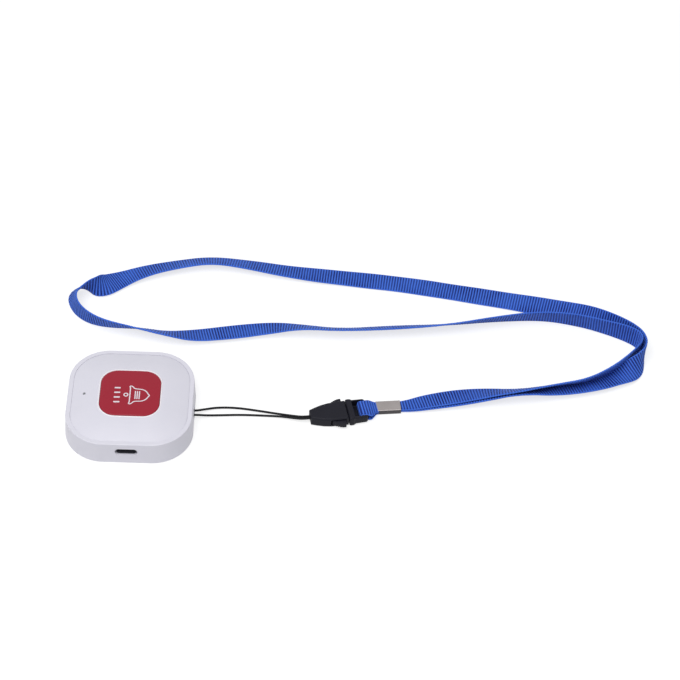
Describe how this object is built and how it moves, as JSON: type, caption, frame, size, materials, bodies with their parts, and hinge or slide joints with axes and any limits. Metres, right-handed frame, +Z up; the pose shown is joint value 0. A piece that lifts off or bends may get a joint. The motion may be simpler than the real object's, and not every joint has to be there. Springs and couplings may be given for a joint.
{
  "type": "call-button pendant with neck lanyard",
  "caption": "Rounded-square wearable call pendant with a large push button, charging port and ribbed neck lanyard on a quick-release buckle.",
  "frame": {"origin": "middle of the pendant's underside, on the surface that it lies on", "axes": "+Z up through the call button, +X towards the string eyelet and the lanyard, -Y towards the charging port"},
  "size_m": [0.2657, 0.1273, 0.015],
  "materials": {
    "case_plastic": "satin white moulding",
    "button_plastic": "satin red moulding with a white printed mark",
    "seal_silicone": "matt",
    "clear_plastic": "frosted, translucent",
    "board_laminate": "solder mask",
    "component_black": "moulded",
    "plunger_plastic": "moulded",
    "plated_steel": "nickel plated",
    "ceramic_tan": "fired ceramic",
    "battery_foil": "laminated foil pouch",
    "foam": "open-cell foam",
    "connector_plastic": "moulded",
    "lead_red": "insulated wire",
    "lead_black": "insulated wire",
    "string_black": "braided",
    "buckle_black": "fine moulded grain",
    "webbing_blue": "ribbed grosgrain weave",
    "clip_metal": "dull nickel"
  },
  "bodies": {
    "pendant": {"bottom_case": "case_plastic", "top_cover": "case_plastic", "button_seal": "seal_silicone", "light_pipe": "clear_plastic", "status_led": "clear_plastic", "circuit_board": "board_laminate", "switch_body": "component_black", "radio_chip": "component_black", "controller_chip": "component_black", "charger_chip": "component_black", "usb_tongue": "component_black", "usb_shell": "plated_steel", "crystal_can": "plated_steel", "case_screws": "plated_steel", "board_screws": "plated_steel", "chip_antenna": "ceramic_tan", "chip_passives": "ceramic_tan", "battery_cell": "battery_foil", "battery_pad": "foam", "battery_connector": "connector_plastic", "battery_lead_red": "lead_red", "battery_lead_black": "lead_black", "pendant_string": "string_black", "buckle_socket": "buckle_black"},
    "button": {"call_button": "button_plastic", "switch_plunger": "plunger_plastic"},
    "lanyard": {"buckle_plug": "buckle_black", "end_loop": "webbing_blue", "clip": "clip_metal", "neck_band": "webbing_blue"},
    "latch_front": {"latch_arm_front": "buckle_black"},
    "latch_back": {"latch_arm_back": "buckle_black"}
  },
  "joints": [
    {"name": "button_press", "type": "slide", "parent": "pendant", "child": "button", "axis": [0, 0, -1], "range_m": [0, 0.0005], "stiffness_N_per_m": 900, "springref_m": -0.0008},
    {"name": "buckle_pull", "type": "slide", "parent": "pendant", "child": "lanyard", "axis": [0.9781, 0.2079, 0], "range_m": [0, 0.01], "deforming": ["latch_arm_front", "latch_arm_back"]},
    {"name": "latch_front_squeeze", "type": "hinge", "parent": "lanyard", "child": "latch_front", "pos_m": [0.09576, -0.00006, 0.0026], "axis": [0, 0, -1], "range_deg": [0, 7], "stiffness_Nm_per_rad": 0.2},
    {"name": "latch_back_squeeze", "type": "hinge", "parent": "lanyard", "child": "latch_back", "pos_m": [0.09451, 0.00581, 0.0026], "axis": [0, 0, 1], "range_deg": [0, 7], "stiffness_Nm_per_rad": 0.2}
  ]
}
